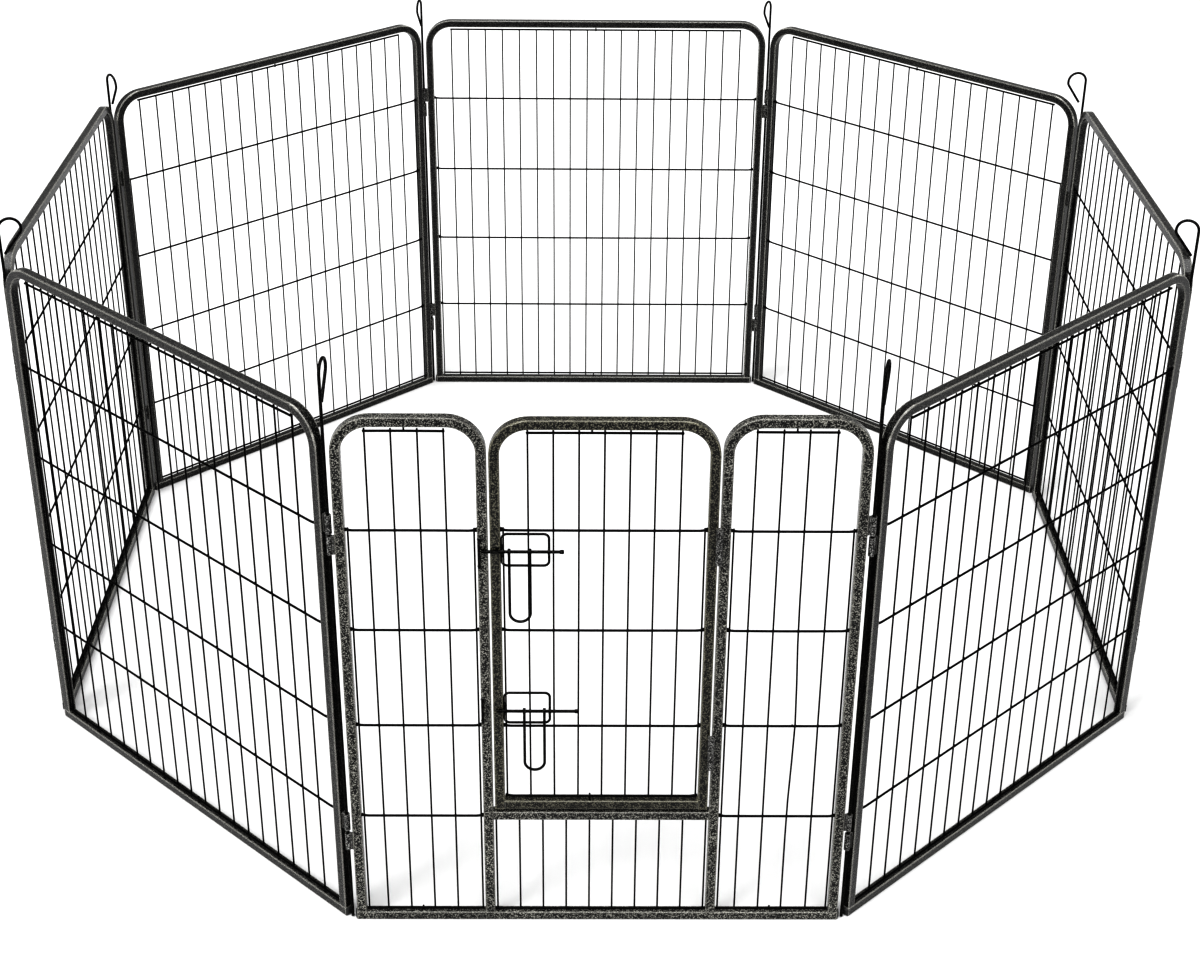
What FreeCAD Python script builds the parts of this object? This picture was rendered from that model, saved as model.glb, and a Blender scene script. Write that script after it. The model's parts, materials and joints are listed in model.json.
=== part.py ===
import FreeCAD, Part
import math
import os
from FreeCAD import Placement, Rotation, Vector

# Eight-panel folding playpen, all in millimetres.
# World frame: +Z up, the floor is z = 0, the doorway faces -Y, and the origin is below
# the middle of the bounding box.
# Every panel is drawn in its own frame first: X runs along the panel from left to right as
# seen from outside, Y points into the pen, and the panel's middle plane is y = 0.

# ---- driving dimensions -------------------------------------------------------------
PANEL_WIDTH = 800.0        # over the outer faces of the legs
HOOP_TOP = 957.0           # height of the panel frames
TUBE = 16.0                # square tube, outside
TUBE_WALL = 0.7
TUBE_CORNER = 2.0
BEND_OUTER = 60.0          # outside radius of the tube bends
AXIS_GAP = 8.5             # pin axis to the outer face of a leg
OUTLINE_ANGLE = 41.7       # exterior angle at both ends of the front and the back panel

CROSS_WIRE = 4.0           # level mesh wires
UPRIGHT_WIRE = 3.0         # upright mesh wires
CROSS_OFFSET = 3.5         # level wires lie this far outside the middle plane
CROSS_HEIGHTS = (933.0, 762.0, 581.5, 399.5, 217.5, 22.0)
UPRIGHT_PITCH = 40.0
UPRIGHT_COUNT = 20
WIRE_OVERHANG = 2.5        # upright wires run past the level wire they end on
CROSS_OVERHANG = 2.0       # level wires run past the outermost upright they end on
HOLE_EXTRA = 1.0           # cutting cylinders stand out this far at both ends

BARREL_DIAMETER = 10.0
BARREL_LENGTH = 32.0
BARREL_BORE = 6.2
BARREL_WEB = 5.0           # thickness of the web between barrel and leg
WEB_SHORT = 1.0            # the web stops this far short of the pin axis
HIGH_BARRELS = (755.0, 186.0)    # bottoms of the barrels on a panel's right leg
LOW_BARRELS = (718.0, 146.0)     # bottoms of the barrels on a panel's left leg

PIN_DIAMETER = 5.0
PIN_BOTTOM = 2.0
LOOP_WIDTH = 42.0
LOOP_HEIGHT = 69.0
LOOP_BEND = 12.0           # radius where the loop turns in towards the pin
LOOP_BEND_DROP = 5.5       # that bend lies this far below the loop's half round

PLUG_HEAD = 3.0
PLUG_TONGUE = 14.0
PLUG_CLEARANCE = 0.05

# Front panel: two fixed hoops with the doorway between them.
LEFT_HOOP = (-400.0, -170.0)
RIGHT_HOOP = (179.0, 400.0)
DOOR = (-167.0, 176.0)
SILL_BOTTOM = 212.0
DOOR_BOTTOM = 235.0
DOOR_TOP = 953.0
DOOR_CROSS_HEIGHTS = (930.5, 763.0, 582.0, 399.0, 259.0)
LEFT_UPRIGHTS = (-380.0, -348.0, -309.5, -270.5, -232.0, -190.5)
RIGHT_UPRIGHTS = (199.5, 228.0, 267.0, 305.5, 346.5, 380.5)
DOOR_UPRIGHT_START = -147.0
DOOR_UPRIGHT_PITCH = 37.9
DOOR_UPRIGHT_COUNT = 9
SILL_UPRIGHT_START = -166.0
SILL_UPRIGHT_PITCH = 37.9
SILL_UPRIGHT_COUNT = 10

# Door hinges: pintle barrels on the right hoop, hollow barrels on the door.
DOOR_AXIS_X = 177.5
DOOR_AXIS_OUT = 13.8       # hinge axis outside the middle plane
DOOR_BARREL_DIAMETER = 10.8
DOOR_BARREL_LENGTH = 29.5
DOOR_PINTLE_DIAMETER = 5.0
DOOR_BORE = 5.3
DOOR_PINTLE_RISE = 3.0     # how far the pintle stands out of the door's barrel
DOOR_HINGE_BOTTOMS = (710.0, 322.5)
DOOR_BARREL_GAP = 1.5
DOOR_WEB = (1.8, 5.2)      # web from and to, measured sideways from the hinge axis

# Slide bolts on the door.
BOLT_DIAMETER = 5.0
BOLT_OUT = 11.2            # bolt axis outside the middle plane
EYE_DIAMETER = 10.0
EYE_BORE = 6.0
BRACKET_WIRE = 4.0
BRACKET_OUT = 6.0
BRACKET_LEFT = -149.0
BRACKET_RIGHT = -78.0
BRACKET_CORNER = 8.0
HANDLE_WIRE = 4.4
HANDLE_BORE = 5.3
HANDLE_SPACING = 31.5
KEEPER_X = -183.0
KEEPER_WIRE = 4.0
KEEPER_OUT = 16.3
KEEPER_CORNER = 4.5
# bolt height, left end and length of the bolt, left leg of the handle, bottom of the handle,
# bracket bottom and top, keeper bottom and top
UPPER_LATCH = dict(z=729.7, tip=-180.4, length=124.0, grip=-138.1, drop=601.0,
                   bracket=(702.0, 758.0), keeper=(702.0, 750.0))
LOWER_LATCH = dict(z=433.5, tip=-161.5, length=128.0, grip=-118.0, drop=316.0,
                   bracket=(407.6, 465.0), keeper=(413.0, 454.0))

# ---- derived outline ----------------------------------------------------------------
HALF_WIDTH = PANEL_WIDTH / 2
HALF_TUBE = TUBE / 2
SIDE = PANEL_WIDTH + 2 * AXIS_GAP
ALPHA = math.radians(OUTLINE_ANGLE)
CORNER_X = SIDE / 2 + SIDE * math.cos(ALPHA)
CORNER_Y = SIDE / 2
END_Y = SIDE / 2 + SIDE * math.sin(ALPHA)
FRONT_REACH = DOOR_AXIS_OUT + DOOR_BARREL_DIAMETER / 2
Y_SHIFT = (FRONT_REACH - HALF_TUBE) / 2

# The eight hinge axes in order round the pen, seen from above, counter-clockwise.
AXES = [
    (-SIDE / 2, -END_Y), (SIDE / 2, -END_Y), (CORNER_X, -CORNER_Y), (CORNER_X, CORNER_Y),
    (SIDE / 2, END_Y), (-SIDE / 2, END_Y), (-CORNER_X, CORNER_Y), (-CORNER_X, -CORNER_Y),
]
PANELS = ["front", "front_right", "right", "back_right", "back", "back_left", "left", "front_left"]


def panel_placement(index):
    x0, y0 = AXES[index]
    x1, y1 = AXES[(index + 1) % 8]
    heading = math.degrees(math.atan2(y1 - y0, x1 - x0))
    middle = Vector((x0 + x1) / 2, (y0 + y1) / 2 + Y_SHIFT, 0)
    return Placement(middle, Rotation(Vector(0, 0, 1), heading))


# ---- building blocks ----------------------------------------------------------------
def rounded_square(half, corner):
    """A square face with rounded corners in the XY plane, centred on the origin."""
    face = Part.makePlane(2 * half, 2 * half, Vector(-half, -half, 0))
    block = face.extrude(Vector(0, 0, 1))
    upright = [e for e in block.Edges if abs(e.Vertexes[0].Z - e.Vertexes[1].Z) > 0.5]
    block = block.makeFillet(corner, upright)
    return next(f for f in block.Faces if abs(f.CenterOfMass.z) < 1e-6)


def half_hoop(left, right, bottom, top, half, corner):
    """The left half of a hoop as a solid bar of the given half thickness."""
    bend = BEND_OUTER - HALF_TUBE
    x = left + HALF_TUBE
    z = top - HALF_TUBE
    section = rounded_square(half, corner)
    section.translate(Vector(x, 0, bottom))
    leg = section.extrude(Vector(0, 0, z - bend - bottom))
    section.translate(Vector(0, 0, z - bend - bottom))
    curve = section.revolve(Vector(x + bend, 0, z - bend), Vector(0, 1, 0), 90)
    end = section.rotated(Vector(x + bend, 0, z - bend), Vector(0, 1, 0), 90)
    bar = end.extrude(Vector((left + right) / 2 - x - bend, 0, 0))
    return leg.fuse([curve, bar])


def hoop(left, right, bottom, top):
    """A hollow square tube bent into an upside-down U, open at its feet."""
    shells = []
    for inset in (0.0, TUBE_WALL):
        part = half_hoop(left, right, bottom, top, HALF_TUBE - inset, TUBE_CORNER - inset)
        twin = part.mirror(Vector((left + right) / 2, 0, 0), Vector(1, 0, 0))
        shells.append(part.fuse(twin).removeSplitter())
    return shells[0].cut(shells[1])


def rail(left, right, bottom):
    """A straight hollow square tube along X, open at its ends."""
    solids = []
    for inset in (0.0, TUBE_WALL):
        section = rounded_square(HALF_TUBE - inset, TUBE_CORNER - inset)
        section.rotate(Vector(0, 0, 0), Vector(0, 1, 0), 90)
        section.translate(Vector(left, 0, bottom + HALF_TUBE))
        solids.append(section.extrude(Vector(right - left, 0, 0)))
    return solids[0].cut(solids[1])


def end_plug(x, direction):
    """A plastic plug in the end of the base rail, with a chamfered head."""
    head = rounded_square(HALF_TUBE, TUBE_CORNER)
    small = rounded_square(HALF_TUBE - PLUG_HEAD, TUBE_CORNER)
    small.translate(Vector(0, 0, PLUG_HEAD))
    head = Part.makeLoft([head.OuterWire, small.OuterWire], True, True)
    tongue = rounded_square(HALF_TUBE - TUBE_WALL - PLUG_CLEARANCE, TUBE_CORNER - TUBE_WALL)
    tongue = tongue.extrude(Vector(0, 0, -PLUG_TONGUE))
    plug = head.fuse(tongue)
    plug.rotate(Vector(0, 0, 0), Vector(0, 1, 0), 90 * direction)
    plug.translate(Vector(x, 0, HALF_TUBE))
    return plug


def bar(start, end, diameter):
    """A round wire from one point to another."""
    direction = Vector(*end) - Vector(*start)
    return Part.makeCylinder(diameter / 2, direction.Length, Vector(*start), direction)


def bent_wire(points, radius, diameter, closed=False):
    """A round wire along straight runs joined by arcs of one radius."""
    nodes = [Vector(*p) for p in points]
    count = len(nodes)
    corners = range(count) if closed else range(1, count - 1)
    trims = {}
    for i in corners:
        before, here, after = nodes[i - 1], nodes[i], nodes[(i + 1) % count]
        into = (before - here).normalize()
        out = (after - here).normalize()
        turn = math.pi - into.getAngle(out)
        reach = radius * math.tan(turn / 2)
        half_way = (into + out).normalize() * (radius / math.cos(turn / 2) - radius)
        trims[i] = (here + into * reach, here + half_way, here + out * reach)
    edges = []
    for i in range(count if closed else count - 1):
        j = (i + 1) % count
        start = trims[i][2] if i in trims else nodes[i]
        end = trims[j][0] if j in trims else nodes[j]
        edges.append(Part.LineSegment(start, end).toShape())
        if j in trims:
            edges.append(Part.Arc(*trims[j]).toShape())
    path = Part.Wire(edges)
    first = edges[0]
    circle = Part.Circle(first.Vertexes[0].Point, first.tangentAt(first.FirstParameter), diameter / 2)
    return path.makePipeShell([Part.Wire(circle.toShape())], True, False)


def ring_along_x(x, out, z, outer, bore, length):
    """An eye whose axis runs along X, centred on x."""
    start = Vector(x - length / 2, -out, z)
    body = Part.makeCylinder(outer / 2, length, start, Vector(1, 0, 0))
    hole = Part.makeCylinder(bore / 2, length + 2 * HOLE_EXTRA,
                             start - Vector(HOLE_EXTRA, 0, 0), Vector(1, 0, 0))
    return body.cut(hole)


def grid(uprights, crossings):
    """Mesh wires: uprights are (x, low, high), crossings are (left, right, z)."""
    wires = [bar((x, 0, low), (x, 0, high), UPRIGHT_WIRE) for x, low, high in uprights]
    wires += [bar((a, -CROSS_OFFSET, z), (b, -CROSS_OFFSET, z), CROSS_WIRE) for a, b, z in crossings]
    return wires


# ---- pieces of a panel --------------------------------------------------------------
def frame_mesh(left, right, xs, inner_left, inner_right):
    """The mesh of one full-height hoop between its leg faces at left and right."""
    top, second, bottom = CROSS_HEIGHTS[0], CROSS_HEIGHTS[1], CROSS_HEIGHTS[-1]
    low = bottom - WIRE_OVERHANG
    uprights = []
    for x in xs:
        inside = inner_left <= x <= inner_right
        uprights.append((x, low, (top if inside else second) + WIRE_OVERHANG))
    middle = (xs[len(xs) // 2 - 1] + xs[len(xs) // 2]) / 2
    uprights.append((middle, top - CROSS_WIRE / 2, HOOP_TOP - TUBE))
    uprights.append((middle, TUBE, bottom + CROSS_WIRE / 2))
    crossings = [(left, right, z) for z in CROSS_HEIGHTS[1:-1]]
    crossings.append((inner_left - CROSS_OVERHANG, inner_right + CROSS_OVERHANG, top))
    crossings.append((xs[0] - CROSS_OVERHANG, xs[-1] + CROSS_OVERHANG, bottom))
    return grid(uprights, crossings)


def plain_mesh():
    first = -UPRIGHT_PITCH * (UPRIGHT_COUNT - 1) / 2
    xs = [first + UPRIGHT_PITCH * i for i in range(UPRIGHT_COUNT)]
    inner = HALF_WIDTH - TUBE
    return frame_mesh(-inner, inner, xs, xs[1], xs[-2])


def hinge_barrel(side, bottom):
    """One barrel for a loose pin, with the web that joins it to the leg."""
    x = side * (HALF_WIDTH + AXIS_GAP)
    body = Part.makeCylinder(BARREL_DIAMETER / 2, BARREL_LENGTH, Vector(x, 0, bottom))
    reach = AXIS_GAP - WEB_SHORT
    web = Part.makeBox(reach, BARREL_WEB, BARREL_LENGTH,
                       Vector(min(side * HALF_WIDTH, side * (HALF_WIDTH + reach)), -BARREL_WEB / 2, bottom))
    hole = Part.makeCylinder(BARREL_BORE / 2, BARREL_LENGTH + 2 * HOLE_EXTRA,
                             Vector(x, 0, bottom - HOLE_EXTRA))
    return body.fuse(web).cut(hole).removeSplitter()


def panel_barrels():
    right = [hinge_barrel(1, z) for z in HIGH_BARRELS]
    left = [hinge_barrel(-1, z) for z in LOW_BARRELS]
    return right + left


def panel_plugs():
    return [end_plug(-HALF_WIDTH, -1), end_plug(HALF_WIDTH, 1)]


def looped_pin(top, turn, gap):
    """A loose pin with a teardrop loop; the loop lies along +X of the pin, then turned."""
    radius = (LOOP_WIDTH - PIN_DIAMETER) / 2
    crown = top - PIN_DIAMETER / 2
    foot = top - LOOP_HEIGHT + PIN_DIAMETER / 2
    shoulder = crown - radius
    wide = 2 * radius
    lower = Vector(PIN_DIAMETER + gap, 0, foot)
    elbow = Vector(wide, 0, shoulder - LOOP_BEND_DROP)
    straight = Part.LineSegment(Vector(0, 0, PIN_BOTTOM), Vector(0, 0, shoulder)).toShape()
    over = Part.Arc(Vector(0, 0, shoulder), Vector(radius, 0, crown), Vector(wide, 0, shoulder)).toShape()
    down = Vector(0, 0, -1)
    back = (lower - elbow).normalize()
    half_turn = down.getAngle(back) / 2
    reach = LOOP_BEND * math.tan(half_turn)
    begin, finish = elbow - down * reach, elbow + back * reach
    inward = (back - down).normalize() * (LOOP_BEND / math.cos(half_turn) - LOOP_BEND)
    edges = [
        straight, over,
        Part.LineSegment(Vector(wide, 0, shoulder), begin).toShape(),
        Part.Arc(begin, elbow + inward, finish).toShape(),
        Part.LineSegment(finish, lower).toShape(),
    ]
    circle = Part.Circle(Vector(0, 0, PIN_BOTTOM), Vector(0, 0, 1), PIN_DIAMETER / 2)
    pin = Part.Wire(edges).makePipeShell([Part.Wire(circle.toShape())], True, False)
    pin.rotate(Vector(0, 0, 0), Vector(0, 0, 1), turn)
    return pin


# ---- pieces of the front panel ------------------------------------------------------
def front_mesh():
    left_inner = (LEFT_HOOP[0] + TUBE, LEFT_HOOP[1] - TUBE)
    right_inner = (RIGHT_HOOP[0] + TUBE, RIGHT_HOOP[1] - TUBE)
    wires = frame_mesh(*left_inner, LEFT_UPRIGHTS, LEFT_UPRIGHTS[1], LEFT_UPRIGHTS[-2])
    wires += frame_mesh(*right_inner, RIGHT_UPRIGHTS, RIGHT_UPRIGHTS[1], RIGHT_UPRIGHTS[-2])
    low = CROSS_HEIGHTS[-1]
    xs = [SILL_UPRIGHT_START + SILL_UPRIGHT_PITCH * i for i in range(SILL_UPRIGHT_COUNT)]
    wires += grid([(x, low - WIRE_OVERHANG, SILL_BOTTOM) for x in xs],
                  [(LEFT_HOOP[1], RIGHT_HOOP[0], low)])
    return wires


def door_mesh():
    xs = [DOOR_UPRIGHT_START + DOOR_UPRIGHT_PITCH * i for i in range(DOOR_UPRIGHT_COUNT)]
    low = DOOR_CROSS_HEIGHTS[-1] - WIRE_OVERHANG
    top, second = DOOR_CROSS_HEIGHTS[0], DOOR_CROSS_HEIGHTS[1]
    uprights = []
    for x in xs:
        inside = xs[0] < x < xs[-1]
        uprights.append((x, low, (top if inside else second) + WIRE_OVERHANG))
    middle = (xs[3] + xs[4]) / 2
    uprights.append((middle, top - CROSS_WIRE / 2, DOOR_TOP - TUBE))
    uprights.append((middle, DOOR_BOTTOM + TUBE, DOOR_CROSS_HEIGHTS[-1] + CROSS_WIRE / 2))
    left, right = DOOR[0] + TUBE, DOOR[1] - TUBE
    crossings = [(left, right, z) for z in DOOR_CROSS_HEIGHTS[1:-1]]
    crossings.append((xs[1] - CROSS_OVERHANG, xs[-2] + CROSS_OVERHANG, top))
    crossings.append((xs[0] - CROSS_OVERHANG, xs[-1] + CROSS_OVERHANG, DOOR_CROSS_HEIGHTS[-1]))
    return grid(uprights, crossings)


def door_barrel(bottom, leg_face, bore):
    """A barrel on the door's hinge axis with a web back to a leg's front face."""
    y = -DOOR_AXIS_OUT
    body = Part.makeCylinder(DOOR_BARREL_DIAMETER / 2, DOOR_BARREL_LENGTH, Vector(DOOR_AXIS_X, y, bottom))
    side = 1 if leg_face > DOOR_AXIS_X else -1
    inner, outer = (DOOR_AXIS_X + side * reach for reach in DOOR_WEB)
    web = Part.makeBox(abs(outer - inner), DOOR_AXIS_OUT - HALF_TUBE, DOOR_BARREL_LENGTH,
                       Vector(min(inner, outer), y, bottom))
    barrel = body.fuse(web)
    if bore:
        hole = Part.makeCylinder(bore / 2, DOOR_BARREL_LENGTH + 2 * HOLE_EXTRA,
                                 Vector(DOOR_AXIS_X, y, bottom - HOLE_EXTRA))
        barrel = barrel.cut(hole)
    return barrel.removeSplitter()


def frame_pintles():
    """The fixed lower barrels with the pins that the door's barrels drop over."""
    pieces = []
    for bottom in DOOR_HINGE_BOTTOMS:
        barrel = door_barrel(bottom, RIGHT_HOOP[0], 0)
        root = Vector(DOOR_AXIS_X, -DOOR_AXIS_OUT, bottom + DOOR_BARREL_LENGTH / 2)
        height = 1.5 * DOOR_BARREL_LENGTH + DOOR_BARREL_GAP + DOOR_PINTLE_RISE
        pin = Part.makeCylinder(DOOR_PINTLE_DIAMETER / 2, height, root)
        pieces.append(barrel.fuse(pin))
    return pieces


def door_barrels():
    step = DOOR_BARREL_LENGTH + DOOR_BARREL_GAP
    return [door_barrel(bottom + step, DOOR[1] - HALF_TUBE, DOOR_BORE) for bottom in DOOR_HINGE_BOTTOMS]


def latch_bracket(latch):
    """A closed wire rectangle with two eyes that the bolt slides in."""
    low, high = latch["bracket"]
    y = -BRACKET_OUT
    corners = [(BRACKET_RIGHT, y, low), (BRACKET_RIGHT, y, high),
               (BRACKET_LEFT, y, high), (BRACKET_LEFT, y, low)]
    frame = bent_wire(corners, BRACKET_CORNER, BRACKET_WIRE, closed=True)
    eyes = [ring_along_x(x, BOLT_OUT, latch["z"], EYE_DIAMETER, EYE_BORE, BRACKET_WIRE)
            for x in (BRACKET_LEFT, BRACKET_RIGHT)]
    length = BRACKET_RIGHT - BRACKET_LEFT + 2 * EYE_DIAMETER
    hole = Part.makeCylinder(EYE_BORE / 2, length,
                             Vector(BRACKET_LEFT - EYE_DIAMETER, -BOLT_OUT, latch["z"]), Vector(1, 0, 0))
    return frame.fuse(eyes).cut(hole)


def bolt_rod(latch):
    return bar((latch["tip"], -BOLT_OUT, latch["z"]),
               (latch["tip"] + latch["length"], -BOLT_OUT, latch["z"]), BOLT_DIAMETER)


def bolt_handle(latch):
    """A hanging U of wire with an eye round the bolt at the top of each leg."""
    left = latch["grip"]
    right = left + HANDLE_SPACING
    middle = (left + right) / 2
    radius = HANDLE_SPACING / 2
    y, z = -BOLT_OUT, latch["z"]
    top = z - (EYE_DIAMETER + HANDLE_BORE) / 4
    low = latch["drop"] + HANDLE_WIRE / 2 + radius
    edges = [
        Part.LineSegment(Vector(left, y, top), Vector(left, y, low)).toShape(),
        Part.Arc(Vector(left, y, low), Vector(middle, y, low - radius), Vector(right, y, low)).toShape(),
        Part.LineSegment(Vector(right, y, low), Vector(right, y, top)).toShape(),
    ]
    circle = Part.Circle(Vector(left, y, top), Vector(0, 0, -1), HANDLE_WIRE / 2)
    grip = Part.Wire(edges).makePipeShell([Part.Wire(circle.toShape())], True, False)
    eyes = [ring_along_x(x, BOLT_OUT, z, EYE_DIAMETER, HANDLE_BORE, HANDLE_WIRE) for x in (left, right)]
    hole = Part.makeCylinder(HANDLE_BORE / 2, HANDLE_SPACING + 2 * EYE_DIAMETER,
                             Vector(left - EYE_DIAMETER, y, z), Vector(1, 0, 0))
    return grip.fuse(eyes).cut(hole)


def keeper(latch):
    """An upright staple on the face of the left hoop that the bolt passes behind."""
    low, high = latch["keeper"]
    points = [(KEEPER_X, -HALF_TUBE, low), (KEEPER_X, -KEEPER_OUT, low),
              (KEEPER_X, -KEEPER_OUT, high), (KEEPER_X, -HALF_TUBE, high)]
    return bent_wire(points, KEEPER_CORNER, KEEPER_WIRE)


# ---- the whole pen ------------------------------------------------------------------
# For each hinge axis in order: top of the pin's loop, direction of the loop seen from above
# in degrees from +X, and the gap between the loop's end and the pin.
PINS = [
    (1042.0, 82.0, 0.6), (1041.0, 73.0, 0.6), (1038.0, 165.0, 1.5), (1023.0, 185.0, 5.0),
    (1012.0, -118.0, 0.6), (1011.0, -100.0, 0.6), (1012.0, -49.0, 8.0), (1032.0, 15.0, 0.8),
]
AXIS_NAMES = ["front_left", "front_right", "right_front", "right_back",
              "back_right", "back_left", "left_back", "left_front"]


def build():
    nodes = {}
    for index, name in enumerate(PANELS):
        place = panel_placement(index)
        pieces = {
            "base_rail": [rail(-HALF_WIDTH, HALF_WIDTH, 0)],
            "rail_plugs": panel_plugs(),
            "hinge_barrels": panel_barrels(),
        }
        if name == "front":
            pieces["narrow_hoop_left"] = [hoop(*LEFT_HOOP, TUBE, HOOP_TOP)]
            pieces["narrow_hoop_right"] = [hoop(*RIGHT_HOOP, TUBE, HOOP_TOP)]
            pieces["sill_rail"] = [rail(LEFT_HOOP[1], RIGHT_HOOP[0], SILL_BOTTOM)]
            pieces["mesh"] = front_mesh()
            pieces["hinge_barrels"] += frame_pintles()
            pieces["latch_keepers"] = [keeper(UPPER_LATCH), keeper(LOWER_LATCH)]
        else:
            pieces["hoop"] = [hoop(-HALF_WIDTH, HALF_WIDTH, TUBE, HOOP_TOP)]
            pieces["mesh"] = plain_mesh()
        for piece, solids in pieces.items():
            nodes[name + "_" + piece] = (place, solids)
    front = panel_placement(0)
    nodes["door_hoop"] = (front, [hoop(*DOOR, DOOR_BOTTOM, DOOR_TOP)])
    nodes["door_bottom_rail"] = (front, [rail(DOOR[0] + TUBE, DOOR[1] - TUBE, DOOR_BOTTOM)])
    nodes["door_mesh"] = (front, door_mesh())
    nodes["door_hinge_barrels"] = (front, door_barrels())
    nodes["door_latch_brackets"] = (front, [latch_bracket(UPPER_LATCH), latch_bracket(LOWER_LATCH)])
    for level, latch in (("upper", UPPER_LATCH), ("lower", LOWER_LATCH)):
        nodes[level + "_bolt_rod"] = (front, [bolt_rod(latch)])
        nodes[level + "_bolt_handle"] = (front, [bolt_handle(latch)])
    for (x, y), name, (top, turn, gap) in zip(AXES, AXIS_NAMES, PINS):
        place = Placement(Vector(x, y + Y_SHIFT, 0), Rotation())
        nodes["pin_" + name] = (place, [looped_pin(top, turn, gap)])
    return nodes


def main():
    os.makedirs("parts", exist_ok=True)
    for name, (place, solids) in build().items():
        shape = Part.Compound(solids) if len(solids) > 1 else solids[0]
        shape.Placement = place.multiply(shape.Placement)
        shape.exportStep("parts/" + name + ".step")
        box = shape.BoundBox
        print(name, len(shape.Solids), shape.isValid(), round(shape.Volume), [
            round(v, 1) for v in (box.XMin, box.YMin, box.ZMin, box.XMax, box.YMax, box.ZMax)])


main()
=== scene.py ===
"""Looks of the folding pet playpen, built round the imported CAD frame. Metres, +Z up.

The CAD nodes keep their shapes and get procedural coats. The nine wire meshes are
replaced by wires of the same size with spot welds. Weld beads are added where tubes,
hinges, keepers and latch parts are joined, and the bolts get their upset heads.
"""
import json
import math
import random

import bmesh
import bpy
import numpy as np
from mathutils import Matrix, Vector


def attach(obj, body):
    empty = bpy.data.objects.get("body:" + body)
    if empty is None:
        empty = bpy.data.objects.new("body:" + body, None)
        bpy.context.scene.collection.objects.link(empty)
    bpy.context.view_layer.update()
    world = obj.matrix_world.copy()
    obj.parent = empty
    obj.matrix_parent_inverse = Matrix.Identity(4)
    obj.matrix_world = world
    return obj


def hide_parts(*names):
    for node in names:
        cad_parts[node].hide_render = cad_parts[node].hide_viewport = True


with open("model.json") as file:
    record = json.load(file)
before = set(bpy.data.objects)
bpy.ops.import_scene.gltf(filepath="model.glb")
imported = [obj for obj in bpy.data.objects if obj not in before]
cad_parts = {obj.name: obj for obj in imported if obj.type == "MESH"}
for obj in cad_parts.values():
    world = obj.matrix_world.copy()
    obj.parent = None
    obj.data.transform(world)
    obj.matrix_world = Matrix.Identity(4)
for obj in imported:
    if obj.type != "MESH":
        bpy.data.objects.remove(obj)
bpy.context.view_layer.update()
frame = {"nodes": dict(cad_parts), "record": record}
NODES = frame["nodes"]
BODIES = frame["record"]["behaviour"]["bodies"]
PANELS = [name for name in BODIES if name.endswith("_panel")]
MM = 0.001
UP = Vector((0, 0, 1))
SAME_POINT = 1e-6            # m, vertices this close are one
SLACK = 1 * MM               # how far past its own end a wire still counts as crossing

# ---- sizes that only the looks need ---------------------------------------------------
WIRE_SIDES = 10
WELD_SIDES = 8
WELD_ROWS = 4
HEAD_SIDES = 14
TIP_RISE = 0.25              # dome at a wire's end, as a share of its radius

LONG_UPRIGHT = 0.2           # uprights longer than this are never quite straight
SWAY = 0.4                   # mm, the most such an upright bows
LONG_RINGS = 13
SHORT_RINGS = 3
BENT_WIRE_AT = 0.3055        # the one upright of the front panel that has been knocked
BENT_FIND = 2 * MM           # how near to that place the wire's middle has to be
BENT_BY = 5 * MM
BENT_HEIGHT = 0.42           # share of the wire's length
BENT_SPREAD = 0.13

LEVEL_RINGS = 17
SAG = (-0.6, 0.3)            # mm, least and most
LEG_REACH = 0.1              # a level wire ends on the legs if it is longer than this and lies
                             # at least this far above the floor and below the mesh's top
END_HOOK = 12 * MM           # last stretch of a level wire that turns up into its weld
END_RISE = 1.9 * MM
HOOK_STEPS = (0.33, 0.66, 1.0)
HOOK_CURVE = 1.6
HOOK_SWELL = 0.12            # the wire thickens by this share into its weld
END_WELD = 2.6 * MM
END_WELD_IN = 1.2 * MM
END_WELD_RISE = 0.9          # height of that weld, as a share of END_RISE
END_WELD_HEIGHT = (3.2, 4.4)     # mm, least and most
TIE_DEPTH = 5 * MM           # a level wire this close to the mesh's top hangs from the tube
TIE_INSET = 2 * MM
TIE_OFFSET = Vector((0, 1.6 * MM, 4.6 * MM))
TIE_HALF = (2.1 * MM, 2.1 * MM, 3.9 * MM)
NUGGET = (1.25, 0.75, 0.95)  # spot weld against the wires' radii, across, deep and high

BEAD = 1.5 * MM              # radius of the weld beads
SMALL_BEAD = BEAD * 0.8
BEAD_STEP = 1.9 * MM         # ripple spacing along a bead
BEAD_RIPPLE = 0.85           # half-length of one ripple, as a share of the spacing
BEAD_UNEVEN = (0.85, 1.15)   # least and most size of a ripple
TUBE = 16 * MM
HALF_PANEL = 0.4
FOOT_INSET = 2.2 * MM
RAIL_BEAD_IN = 0.97
RAIL_BEAD_INSET = 2 * MM
PINTLE_DEPTH = 10.5 * MM     # a barrel deeper than this belongs to the door's hinge
BARREL_INSET = 1 * MM        # a web's bead stops this short of its barrel's ends
WEB_BEAD_IN = 0.8 * MM
WEB_BEAD_OUT = 2.9 * MM
DOOR_FACE = -8.2 * MM        # weld line on the outer face of the door's tube
DOOR_WEB_IN = 3.4 * MM
BRACKET_BEAD_IN = 3 * MM
BRACKET_BEAD = (8 * MM, 18 * MM)     # from and to, measured from the bracket's ends
KEEPER_FACE = -8.4 * MM
KEEPER_FOOT = 3.6 * MM
KEEPER_FOOT_DEPTH = 1.5 * MM
KEEPER_INSET = 2 * MM
BOLT_HEAD = ((-5.5, 2.5), (-4.8, 3.2), (-1.2, 3.4), (0.2, 3.3), (0.8, 2.6))  # mm along, radius
HANDLE_WELD = (2.1 * MM, 2.9 * MM, 1.5 * MM)
HANDLE_WELD_IN = 2.2 * MM
HANDLE_WELD_DROP = 4.6 * MM

# Seeds of the small irregularities. Each panel adds its place in the list.
WIRE_SEED = 10
DOOR_WIRE_SEED = 30
BEAD_SEED = 40
DOOR_BEAD_SEED = 60

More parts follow.
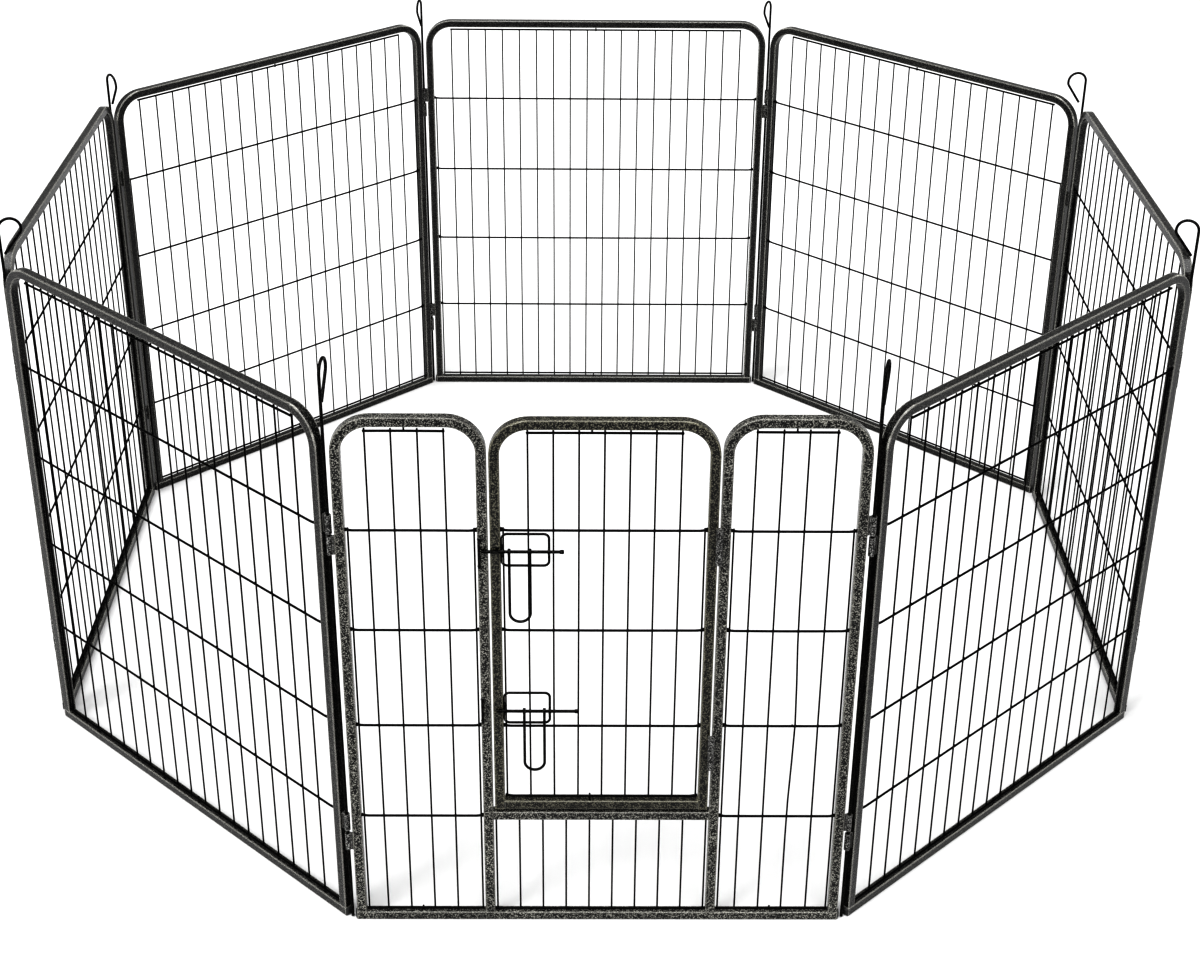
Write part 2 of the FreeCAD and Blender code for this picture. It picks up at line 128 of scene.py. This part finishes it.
# ---- coats, light and camera ----------------------------------------------------------
NOISE_SPAN = (0.3, 0.7)      # the part of a noise's range over which shades run
GRAIN = 540.0                # noise scales, per metre
GRAIN_ROUGHNESS = 0.55
DIMPLES = 260.0
CLOUDS = 9.0
CLOUD_SPAN = (0.35, 0.65)
CLOUD_SHADES = (0.8, 1.15)   # how far the clouds darken and lighten the coat
COAT_GLOSS = (0.42, 0.3)     # roughness on the ground and on the veins
COAT_SPECULAR = 0.14
CLEAR_WEIGHT = 0.5           # the clear layer over the powder
CLEAR_ROUGHNESS = 0.1
DIMPLE_BUMP = (0.55, 0.0006)     # strength, and depth in metres
GRAIN_BUMP = (0.4, 0.0003)
VEIN_EDGE = 0.03
VEIN_WARMTH = 0.6
WIRE_GRAIN = 520.0
WIRE_GRAIN_ROUGHNESS = 0.6
WIRE_VEINS = (0.50, 0.66)
WIRE_CLOUDS = 60.0
WIRE_GLOSS = (0.34, 0.46)
WIRE_SPECULAR = 0.06
WIRE_BUMP = (0.3, 0.0002)
PLASTIC_GRAIN = 1500.0
PLASTIC_CLOUDS = 120.0
PLASTIC_TONES = (0.010, 0.017)
PLASTIC_GLOSS = (0.55, 0.65)
PLASTIC_BUMP = (0.25, 0.0001)
# The next three numbers shape the painted highlight lines on the tube's corners.
HIGHLIGHT_REACH = 2.8 * MM      # a surface this close to a sharp turn starts to lighten
HIGHLIGHT_SHARP = 0.93          # cosine of the turn where a corner is fully light
HIGHLIGHT_FLAT = 0.985
FLOOR_HALF = 40.0
FLOOR_CLOUDS = 0.6
FLOOR_TONES = (0.425, 0.43)
FLOOR_ROUGHNESS = 0.9
SKY = 0.42
TOP_LIGHT = dict(azimuth=12, elevation=70, strength=3.8, softness=64)
KEY_LIGHT = dict(azimuth=48, elevation=40, strength=1.2, softness=18)
CAMERA_AT = Vector((-0.0299, -3.3974, 2.3211))
CAMERA_YAW = 0.596           # degrees to the right of +Y
CAMERA_PITCH = -26.09
CAMERA_ROLL = 0.496
CAMERA_SENSOR = 36.0
CAMERA_LENS = 57.73
CAMERA_SHIFT_Y = -0.1433
CAMERA_FAR = 100.0

# Sockets of a colour mix node.
MIX_FACTOR, MIX_A, MIX_B, MIX_RESULT = 0, 6, 7, 2


# ---- materials ------------------------------------------------------------------------
class Nodes:
    """A material with one Principled shader, and small helpers to build its node tree."""

    def __init__(self, name):
        self.material = bpy.data.materials.new(name)
        self.material.use_nodes = True
        self.tree = self.material.node_tree
        self.tree.nodes.clear()
        self.output = self.add("ShaderNodeOutputMaterial")
        self.shader = self.add("ShaderNodeBsdfPrincipled")
        self.link(self.shader, "BSDF", self.output, "Surface")
        self.place = self.add("ShaderNodeTexCoord")

    def add(self, kind, **settings):
        node = self.tree.nodes.new(kind)
        for key, value in settings.items():
            if hasattr(node, key):
                setattr(node, key, value)
            else:
                node.inputs[key.replace("_", " ").title()].default_value = value
        return node

    def link(self, source, output, target, slot):
        self.tree.links.new(source.outputs[output], target.inputs[slot])

    def noise(self, scale, detail=2.0, roughness=0.5):
        node = self.add("ShaderNodeTexNoise", scale=scale, detail=detail, roughness=roughness)
        self.link(self.place, "Object", node, "Vector")
        return node

    def ramp(self, source, output, stops):
        node = self.add("ShaderNodeValToRGB")
        colours = node.color_ramp.elements
        while len(colours) < len(stops):
            colours.new(0.5)
        for stop, (position, colour) in zip(colours, stops):
            stop.position = position
            stop.color = (*colour, 1.0)
        self.link(source, output, node, "Fac")
        return node

    def shades(self, source, tones, span=NOISE_SPAN):
        """Greys from the first tone to the second over the middle of a noise's range."""
        return self.ramp(source, "Fac", [(at, grey(tone)) for at, tone in zip(span, tones)])

    def bump(self, source, output, strength, distance, under=None):
        node = self.add("ShaderNodeBump", strength=strength, distance=distance)
        self.link(source, output, node, "Height")
        if under:
            self.link(under, "Normal", node, "Normal")
        return node


def grey(value, warmth=0.0):
    """A grey, drawn towards brown by warmth."""
    return (value * (1 + warmth * 0.2), value, value * (1 - warmth))


def painted_highlight_mask(n):
    """Mask of the painted highlight: light where the surface turns sharply, as on the corners of a square
    tube.
    """
    rounded = n.add("ShaderNodeBevel")
    rounded.inputs["Radius"].default_value = HIGHLIGHT_REACH
    surface = n.add("ShaderNodeNewGeometry")
    match = n.add("ShaderNodeVectorMath", operation="DOT_PRODUCT")
    n.link(rounded, "Normal", match, 0)
    n.link(surface, "Normal", match, 1)
    return n.ramp(match, "Value", [(HIGHLIGHT_SHARP, grey(1.0)), (HIGHLIGHT_FLAT, grey(0.0))])


def hammertone(name, ground, vein, warmth, cover, corner):
    """Silver-vein powder coat: a dark ground crazed by fine light veins over soft dimples.

    The corners of the tube are painted in the corner colour, as painted highlight lines.
    """
    n = Nodes(name)
    fine = n.noise(GRAIN, roughness=GRAIN_ROUGHNESS)
    drift = n.noise(CLOUDS)
    veins = n.ramp(fine, "Fac", [(cover - VEIN_EDGE, grey(0.0)), (cover + VEIN_EDGE, grey(1.0))])
    blend = n.add("ShaderNodeMix", data_type="RGBA")
    n.link(veins, "Color", blend, MIX_FACTOR)
    blend.inputs[MIX_A].default_value = (*grey(ground, warmth), 1.0)
    blend.inputs[MIX_B].default_value = (*grey(vein, warmth * VEIN_WARMTH), 1.0)
    worn = n.add("ShaderNodeMix", data_type="RGBA", blend_type="MULTIPLY")
    worn.inputs[MIX_FACTOR].default_value = 1.0
    cloud = n.shades(drift, CLOUD_SHADES, CLOUD_SPAN)
    n.link(blend, MIX_RESULT, worn, MIX_A)
    n.link(cloud, "Color", worn, MIX_B)
    # Painted highlight: the corner colour is mixed in where the surface turns sharply.
    painted_highlight_mix = n.add("ShaderNodeMix", data_type="RGBA")
    n.link(painted_highlight_mask(n), "Color", painted_highlight_mix, MIX_FACTOR)
    n.link(worn, MIX_RESULT, painted_highlight_mix, MIX_A)
    painted_highlight_mix.inputs[MIX_B].default_value = (*grey(corner, warmth * VEIN_WARMTH), 1.0)
    n.link(painted_highlight_mix, MIX_RESULT, n.shader, "Base Color")
    n.link(n.shades(fine, COAT_GLOSS), "Color", n.shader, "Roughness")
    n.shader.inputs["Specular IOR Level"].default_value = COAT_SPECULAR
    n.shader.inputs["Coat Weight"].default_value = CLEAR_WEIGHT
    n.shader.inputs["Coat Roughness"].default_value = CLEAR_ROUGHNESS
    low = n.bump(n.noise(DIMPLES), "Fac", *DIMPLE_BUMP)
    top = n.bump(fine, "Fac", *GRAIN_BUMP, low)
    n.link(top, "Normal", n.shader, "Normal")
    return n.material


def wire_coat(name, ground, light, warmth):
    """Thin powder coat on drawn wire, darker and smoother than on the tube."""
    n = Nodes(name)
    fine = n.noise(WIRE_GRAIN, roughness=WIRE_GRAIN_ROUGHNESS)
    dark, bright = WIRE_VEINS
    colour = n.ramp(fine, "Fac", [(dark, grey(ground, warmth)), (bright, grey(light, warmth))])
    n.link(colour, "Color", n.shader, "Base Color")
    n.link(n.shades(n.noise(WIRE_CLOUDS), WIRE_GLOSS), "Color", n.shader, "Roughness")
    n.shader.inputs["Specular IOR Level"].default_value = WIRE_SPECULAR
    n.link(n.bump(fine, "Fac", *WIRE_BUMP), "Normal", n.shader, "Normal")
    return n.material


def plastic(name):
    """Moulded black polyethylene with a faint grain."""
    n = Nodes(name)
    grain = n.noise(PLASTIC_GRAIN)
    n.link(n.shades(n.noise(PLASTIC_CLOUDS), PLASTIC_TONES), "Color", n.shader, "Base Color")
    n.link(n.shades(grain, PLASTIC_GLOSS), "Color", n.shader, "Roughness")
    n.link(n.bump(grain, "Fac", *PLASTIC_BUMP), "Normal", n.shader, "Normal")
    return n.material


def floor_paper(name):
    """A plain white studio floor."""
    n = Nodes(name)
    n.link(n.shades(n.noise(FLOOR_CLOUDS), FLOOR_TONES), "Color", n.shader, "Base Color")
    n.shader.inputs["Roughness"].default_value = FLOOR_ROUGHNESS
    return n.material


# corner is the colour of the painted highlight lines along the tube's edges.
LIT_FRAME_COAT = hammertone("frame_coat", ground=0.0005, vein=0.22, warmth=0.16, cover=0.569, corner=0.24)
# Painted shade: the frame coat painted darker for the side and back panels, with brighter painted highlight
# lines; the front tubes keep the lighter, lit copy.
SHADED_PANEL_COAT = hammertone("panel_coat", ground=0.0003, vein=0.055, warmth=0.12, cover=0.577, corner=0.42)
DOOR_COAT = hammertone("door_coat", ground=0.001, vein=0.11, warmth=0.38, cover=0.570, corner=0.22)
HARDWARE_COAT = hammertone("hardware_coat", ground=0.0005, vein=0.13, warmth=0.10, cover=0.578, corner=0.05)
# Painted highlight: the hardware coat painted lighter for the round hinge barrels.
HIGHLIGHT_BARREL_COAT = hammertone("barrel_coat", ground=0.0005, vein=0.26, warmth=0.06, cover=0.556, corner=0.10)
WIRE_COAT = wire_coat("wire_coat", ground=0.001, light=0.008, warmth=0.03)
ROD_COAT = wire_coat("rod_coat", ground=0.001, light=0.03, warmth=0.06)
PLUG_PLASTIC = plastic("plug_plastic")


# ---- mesh building --------------------------------------------------------------------
def add_object(name, out, material, body):
    """Makes a smooth-shaded piece from a builder, riding on a body."""
    mesh = bpy.data.meshes.new(name)
    mesh.from_pydata(out.verts, [], out.faces)
    mesh.validate()
    mesh.materials.append(material)
    mesh.polygons.foreach_set("use_smooth", [True] * len(mesh.polygons))
    piece = bpy.data.objects.new(name, mesh)
    bpy.context.scene.collection.objects.link(piece)
    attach(piece, body)
    return piece


class Builder:
    """Collects vertices and faces of one piece."""

    def __init__(self):
        self.verts = []
        self.faces = []

    def ring(self, centre, along, across, radius, sides):
        side = along.cross(across).normalized()
        across = side.cross(along).normalized()
        start = len(self.verts)
        for k in range(sides):
            a = 2 * math.pi * k / sides
            self.verts.append(centre + (across * math.cos(a) + side * math.sin(a)) * radius)
        return start

    def tube(self, points, radii, across, sides=WIRE_SIDES):
        """A round rod through points, with a closed, slightly domed end at each side."""
        points = [Vector(p) for p in points]
        starts = []
        for i, point in enumerate(points):
            before, after = points[max(i - 1, 0)], points[min(i + 1, len(points) - 1)]
            starts.append(self.ring(point, (after - before).normalized(), across, radii[i], sides))
        for a, b in zip(starts, starts[1:]):
            for k in range(sides):
                m = (k + 1) % sides
                self.faces.append((a + k, a + m, b + m, b + k))
        for start, point, inner in ((starts[0], points[0], points[1]),
                                    (starts[-1], points[-1], points[-2])):
            tip = len(self.verts)
            out = (point - inner).normalized()
            self.verts.append(point + out * radii[0] * TIP_RISE)
            for k in range(sides):
                m = (k + 1) % sides
                near, far = (m, k) if start == starts[0] else (k, m)
                self.faces.append((start + near, start + far, tip))

    def blob(self, centre, axes):
        """A low-polygon ellipsoid; axes are its three half-length vectors."""
        start = len(self.verts)
        sides = WELD_SIDES
        for r in range(1, WELD_ROWS):
            lat = math.pi * r / WELD_ROWS
            for k in range(sides):
                lon = 2 * math.pi * k / sides
                self.verts.append(centre + axes[0] * math.sin(lat) * math.cos(lon)
                                  + axes[1] * math.sin(lat) * math.sin(lon) + axes[2] * math.cos(lat))
        top, bottom = len(self.verts), len(self.verts) + 1
        self.verts += [centre + axes[2], centre - axes[2]]
        for r in range(WELD_ROWS - 2):
            for k in range(sides):
                m = (k + 1) % sides
                a, b = start + r * sides, start + (r + 1) * sides
                self.faces.append((a + k, b + k, b + m, a + m))
        last = start + (WELD_ROWS - 2) * sides
        for k in range(sides):
            m = (k + 1) % sides
            self.faces.append((start + k, start + m, top))
            self.faces.append((last + m, last + k, bottom))

    def bead(self, start, end, radius, rng):
        """A rippled weld bead from start to end."""
        along = end - start
        count = max(2, round(along.length / BEAD_STEP))
        across = along.orthogonal().normalized()
        side = along.normalized().cross(across)
        for i in range(count):
            centre = start + along * ((i + 0.5) / count)
            size = radius * rng.uniform(*BEAD_UNEVEN)
            self.blob(centre, (across * size, side * size, along.normalized() * BEAD_STEP * BEAD_RIPPLE))


def panel_blob(out, place, at, half):
    """An ellipsoid at a point of a panel's frame, with half-lengths along its X, Y and Z."""
    turn = place.to_3x3()
    across, deep, high = half
    out.blob(place @ Vector(at),
             (turn @ Vector((across, 0, 0)), turn @ Vector((0, deep, 0)), Vector((0, 0, high))))


def upright_bead(out, place, x, y, bottom, top, radius, rng):
    """A bead straight up, given in a panel's frame."""
    out.bead(place @ Vector((x, y, bottom)), place @ Vector((x, y, top)), radius, rng)


# ---- where the parts are --------------------------------------------------------------
def panel_frame(body):
    """A matrix from a panel's own frame (X along, Y into the pen, Z up) to the world."""
    node = NODES[body.replace("_panel", "_base_rail")]
    flat = np.array([v.co[:2] for v in node.data.vertices])
    middle = flat.mean(0)
    spread = np.linalg.svd(flat - middle, full_matrices=False)[2][0]
    along = Vector((spread[0], spread[1], 0)).normalized()
    centre = Vector((middle[0], middle[1], 0))
    inward = Vector((-along.y, along.x, 0))
    if inward.dot(centre) > 0:
        along, inward = -along, -inward
    return Matrix.Translation(centre) @ Matrix((along, inward, UP)).transposed().to_4x4()


def box_of(points):
    """The lowest and the highest corner of some points."""
    return (Vector(min(p[i] for p in points) for i in range(3)),
            Vector(max(p[i] for p in points) for i in range(3)))


def loose_parts(node, place):
    """Each separate solid of a node, as (lowest corner, highest corner) in the panel's frame."""
    mesh = bmesh.new()
    mesh.from_mesh(NODES[node].data)
    mesh.transform(place.inverted())
    bmesh.ops.remove_doubles(mesh, verts=mesh.verts, dist=SAME_POINT)
    mesh.verts.ensure_lookup_table()
    seen, parts = set(), []
    for vert in mesh.verts:
        if vert.index in seen:
            continue
        stack, group = [vert], []
        seen.add(vert.index)
        while stack:
            here = stack.pop()
            group.append(here.co.copy())
            for edge in here.link_edges:
                other = edge.other_vert(here)
                if other.index not in seen:
                    seen.add(other.index)
                    stack.append(other)
        parts.append(box_of(group))
    mesh.free()
    return parts


def node_box(node, place):
    """The box round a whole node, in the panel's frame."""
    return box_of([corner for part in loose_parts(node, place) for corner in part])


# ---- wire mesh ------------------------------------------------------------------------
def wire_mesh(name, body, node, place, seed, bent_at=None):
    """The spot-welded mesh of one panel: drawn wires, weld nuggets and hooked ends."""
    rng = random.Random(seed)
    out = Builder()
    uprights, levels = [], []
    for low, high in loose_parts(node, place):
        size = high - low
        (uprights if size.z > size.x else levels).append((low, high, (low + high) / 2, size))
    reach = max(high.z for low, high, middle, size in uprights)
    for low, high, middle, size in uprights:
        bent = bent_at is not None and abs(middle.x - bent_at) < BENT_FIND
        upright_wire(out, place, low, middle, size, bent, rng)
    for low, high, middle, size in levels:
        level_wire(out, place, low, high, middle, size, reach, rng)
        for foot, head, at, width in uprights:
            if (low.x - SLACK < at.x < high.x + SLACK
                    and foot.z - SLACK < middle.z < head.z + SLACK):
                spot_weld(out, place, at, middle, width.x / 2, size.z / 2)
        if middle.z > reach - TIE_DEPTH:
            for x in (low.x + TIE_INSET, high.x - TIE_INSET):
                panel_blob(out, place, Vector((x, middle.y, middle.z)) + TIE_OFFSET, TIE_HALF)
    piece = add_object(name, out, WIRE_COAT, body)
    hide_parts(node)


def upright_wire(out, place, low, middle, size, bent, rng):
    """One upright wire, very slightly bowed if it is long, and knocked if it is bent."""
    is_long = size.z > LONG_UPRIGHT
    sway = rng.uniform(-SWAY, SWAY) * MM if is_long else 0.0
    count = LONG_RINGS if is_long else SHORT_RINGS
    points = []
    for i in range(count):
        t = i / (count - 1)
        bow = sway * math.sin(math.pi * t)
        if bent:
            bow += BENT_BY * math.exp(-((t - BENT_HEIGHT) / BENT_SPREAD) ** 2)
        points.append(place @ Vector((middle.x + bow, middle.y, low.z + size.z * t)))
    out.tube(points, [size.x / 2] * count, place.to_3x3() @ Vector((0, 1, 0)))


def level_wire(out, place, low, high, middle, size, reach, rng):
    """One level wire. Wires that reach a leg turn up into a weld at each end."""
    radius = size.z / 2
    hooked = LEG_REACH < size.x and LEG_REACH < middle.z < reach - LEG_REACH
    sag = rng.uniform(*SAG) * MM
    hook = END_HOOK / size.x
    hooks = [hook * step for step in HOOK_STEPS]
    even = [i / (LEVEL_RINGS - 1) for i in range(LEVEL_RINGS)]
    points, radii = [], []
    for t in sorted(set(even + hooks + [1 - h for h in hooks])):
        rise = sag * math.sin(math.pi * t)
        near = min(t, 1 - t) / hook
        if hooked and near < 1:
            rise += END_RISE * (1 - near) ** HOOK_CURVE
        points.append(place @ Vector((low.x + size.x * t, middle.y, middle.z + rise)))
        radii.append(radius * (1.0 if near > 1 or not hooked else 1.0 + HOOK_SWELL * (1 - near)))
    out.tube(points, radii, UP)
    if hooked:
        for x, side in ((low.x, 1), (high.x, -1)):
            at = (x + side * END_WELD_IN, middle.y, middle.z + END_RISE * END_WELD_RISE)
            panel_blob(out, place, at, (END_WELD, END_WELD, rng.uniform(*END_WELD_HEIGHT) * MM))


def spot_weld(out, place, upright, level, thin, thick):
    """The squashed nugget where an upright crosses a level wire."""
    across, deep, high = NUGGET
    meet = (upright.y - thin + level.y + thick) / 2
    panel_blob(out, place, (upright.x, meet, level.z), (thin * across, thin * deep, thick * high))


# ---- weld beads -----------------------------------------------------------------------
def rail_end_beads(out, place, node, rng):
    """Beads up the corners at both ends of a rail."""
    low, high = node_box(node, place)
    for x in (low.x, high.x):
        for y in (low.y, high.y):
            upright_bead(out, place, x, y * RAIL_BEAD_IN,
                         low.z + RAIL_BEAD_INSET, high.z - RAIL_BEAD_INSET, SMALL_BEAD, rng)


def panel_welds(body, place, seed):
    """Beads of one panel: leg feet, hinge webs, and the ends of the sill rail."""
    rng = random.Random(seed)
    out = Builder()
    name = body.replace("_panel", "")
    for hoop in [node for node in BODIES[body] if "hoop" in node]:
        low, high = node_box(hoop, place)
        for left in (low.x, high.x - TUBE):
            for x in (left, left + TUBE):
                out.bead(place @ Vector((x, low.y + FOOT_INSET, low.z)),
                         place @ Vector((x, high.y - FOOT_INSET, low.z)), BEAD, rng)
    for low, high in loose_parts(name + "_hinge_barrels", place):
        if high.y - low.y > PINTLE_DEPTH:
            continue
        side = 1 if low.x > 0 else -1
        for y in (-WEB_BEAD_OUT, WEB_BEAD_OUT):
            upright_bead(out, place, side * HALF_PANEL + side * WEB_BEAD_IN, y,
                         low.z + BARREL_INSET, high.z - BARREL_INSET, BEAD, rng)
    if name == "front":
        rail_end_beads(out, place, "front_sill_rail", rng)
    add_object(name + "_weld_beads", out, HARDWARE_COAT, body)


def door_welds(place):
    """Beads of the door: the ends of its rail, its hinge webs and its latch brackets."""
    rng = random.Random(DOOR_BEAD_SEED)
    out = Builder()
    rail_end_beads(out, place, "door_bottom_rail", rng)
    for low, high in loose_parts("door_hinge_barrels", place):
        upright_bead(out, place, low.x + DOOR_WEB_IN, DOOR_FACE,
                     low.z + BARREL_INSET, high.z - BARREL_INSET, BEAD, rng)
    near, far = BRACKET_BEAD
    for low, high in loose_parts("door_latch_brackets", place):
        x = low.x + BRACKET_BEAD_IN
        upright_bead(out, place, x, DOOR_FACE, low.z + near, low.z + far, SMALL_BEAD, rng)
        upright_bead(out, place, x, DOOR_FACE, high.z - far, high.z - near, SMALL_BEAD, rng)
    add_object("door_weld_beads", out, HARDWARE_COAT, "door")


def keeper_welds(place):
    """Flat round welds over the feet of the two keepers."""
    out = Builder()
    turn = place.to_3x3()
    axes = (turn @ Vector((KEEPER_FOOT, 0, 0)), Vector((0, 0, KEEPER_FOOT)),
            turn @ Vector((0, -KEEPER_FOOT_DEPTH, 0)))
    for low, high in loose_parts("front_latch_keepers", place):
        for z in (low.z + KEEPER_INSET, high.z - KEEPER_INSET):
            out.blob(place @ Vector(((low.x + high.x) / 2, KEEPER_FACE, z)), axes)
    add_object("front_keeper_welds", out, HARDWARE_COAT, "front_panel")


def latch_details(level, place):
    """The upset head on the bolt's free end, and the welds under the eyes of its handle."""
    low, high = node_box(level + "_bolt_rod", place)
    axis = (low + high) / 2
    head = Builder()
    head.tube([place @ Vector((high.x + x * MM, axis.y, axis.z)) for x, radius in BOLT_HEAD],
              [radius * MM for x, radius in BOLT_HEAD], UP, HEAD_SIDES)
    add_object(level + "_bolt_head", head, ROD_COAT, level + "_bolt")
    low, high = node_box(level + "_bolt_handle", place)
    welds = Builder()
    for x in (low.x + HANDLE_WELD_IN, high.x - HANDLE_WELD_IN):
        panel_blob(welds, place, (x, axis.y, axis.z - HANDLE_WELD_DROP), HANDLE_WELD)
    add_object(level + "_handle_welds", welds, ROD_COAT, level + "_handle")


# ---- stage ----------------------------------------------------------------------------
def add_stage():
    """The plain floor."""
    mesh = bpy.data.meshes.new("studio_floor")
    corners = [(x * FLOOR_HALF, y * FLOOR_HALF, 0) for x, y in ((-1, -1), (1, -1), (1, 1), (-1, 1))]
    mesh.from_pydata(corners, [], [(0, 1, 2, 3)])
    mesh.materials.append(floor_paper("studio_floor"))
    floor = bpy.data.objects.new("studio_floor", mesh)
    bpy.context.scene.collection.objects.link(floor)


def add_sun(name, azimuth, elevation, strength, softness):
    """A soft light, in degrees; azimuth is measured from the front, positive to the left."""
    light = bpy.data.lights.new(name, "SUN")
    light.energy = strength
    light.angle = math.radians(softness)
    lamp = bpy.data.objects.new(name, light)
    side, rise = math.radians(azimuth), math.radians(elevation)
    source = Vector((-math.sin(side) * math.cos(rise), -math.cos(side) * math.cos(rise), math.sin(rise)))
    lamp.rotation_euler = (-source).to_track_quat("-Z", "Y").to_euler()
    bpy.context.scene.collection.objects.link(lamp)


def add_lights():
    """Two soft lights under a dim sky, with a white backdrop for the camera alone."""
    world = bpy.data.worlds.new("studio")
    world.use_nodes = True
    tree = world.node_tree
    sky = tree.nodes["Background"]
    sky.inputs["Color"].default_value = (1, 1, 1, 1)
    sky.inputs["Strength"].default_value = SKY
    backdrop = tree.nodes.new("ShaderNodeBackground")
    backdrop.inputs["Color"].default_value = (1, 1, 1, 1)
    path = tree.nodes.new("ShaderNodeLightPath")
    either = tree.nodes.new("ShaderNodeMixShader")
    tree.links.new(path.outputs["Is Camera Ray"], either.inputs[0])
    tree.links.new(sky.outputs[0], either.inputs[1])
    tree.links.new(backdrop.outputs[0], either.inputs[2])
    tree.links.new(either.outputs[0], tree.nodes["World Output"].inputs["Surface"])
    bpy.context.scene.world = world
    add_sun("top_light", **TOP_LIGHT)
    add_sun("key_light", **KEY_LIGHT)


def add_camera():
    """The camera above the front of the pen, looking down into it."""
    data = bpy.data.cameras.new("camera")
    data.sensor_width = CAMERA_SENSOR
    data.lens = CAMERA_LENS
    data.shift_y = CAMERA_SHIFT_Y
    data.clip_end = CAMERA_FAR
    camera = bpy.data.objects.new("camera", data)
    yaw, pitch, roll = (math.radians(a) for a in (CAMERA_YAW, CAMERA_PITCH, CAMERA_ROLL))
    ahead = Vector((math.sin(yaw) * math.cos(pitch), math.cos(yaw) * math.cos(pitch), math.sin(pitch)))
    right = Vector((math.cos(yaw), -math.sin(yaw), 0))
    up = right.cross(ahead)
    rolled_right = right * math.cos(roll) + up * math.sin(roll)
    rolled_up = up * math.cos(roll) - right * math.sin(roll)
    turn = Matrix((rolled_right, rolled_up, -ahead)).transposed()
    camera.matrix_world = Matrix.Translation(CAMERA_AT) @ turn.to_4x4()
    bpy.context.scene.collection.objects.link(camera)
    bpy.context.scene.camera = camera


# ---- put it together ------------------------------------------------------------------
def coat_of(name, slot):
    """The coat of a CAD node. Some nodes show a shade of their own within one slot: the side and back
    panels get a darker copy of the frame coat, as painted shade, and the hinge barrels a lighter copy of
    the hardware coat, as painted highlight.
    """
    if name in ("door_hoop", "door_bottom_rail"):
        return DOOR_COAT
    # The hinge barrels get the hardware coat painted lighter, as painted highlight.
    if name.endswith("_hinge_barrels"):
        return HIGHLIGHT_BARREL_COAT
    if slot == "frame_coat":
        # The front tubes get the lit copy of the coat, the side and back panels the copy painted darker as
        # painted shade.
        in_front = name.startswith(("front_narrow", "front_sill", "front_base"))
        return LIT_FRAME_COAT if in_front else SHADED_PANEL_COAT
    if name.startswith("pin_") or "_bolt_" in name or "_latch_" in name:
        return ROD_COAT
    return {"hardware_coat": HARDWARE_COAT, "wire_coat": WIRE_COAT, "plug_plastic": PLUG_PLASTIC}[slot]


def dress_cad_nodes():
    """Gives every CAD node its procedural material."""
    slots = {s["node"]: s["material_slot"] for s in frame["record"]["subparts"]}
    for name, node in NODES.items():
        node.data.materials.clear()
        node.data.materials.append(coat_of(name, slots[name]))


def main():
    dress_cad_nodes()
    places = {body: panel_frame(body) for body in PANELS}
    for index, body in enumerate(PANELS):
        name = body.replace("_panel", "")
        bent_at = BENT_WIRE_AT if name == "front" else None
        wire_mesh(name + "_wires", body, name + "_mesh", places[body], WIRE_SEED + index, bent_at)
        panel_welds(body, places[body], BEAD_SEED + index)
    front = places["front_panel"]
    wire_mesh("door_wires", "door", "door_mesh", front, DOOR_WIRE_SEED)
    door_welds(front)
    keeper_welds(front)
    for level in ("upper", "lower"):
        latch_details(level, front)
    add_stage()
    add_lights()
    add_camera()
    bpy.context.scene.view_settings.view_transform = "Standard"
    bpy.context.scene.view_settings.look = "Very High Contrast"


main()
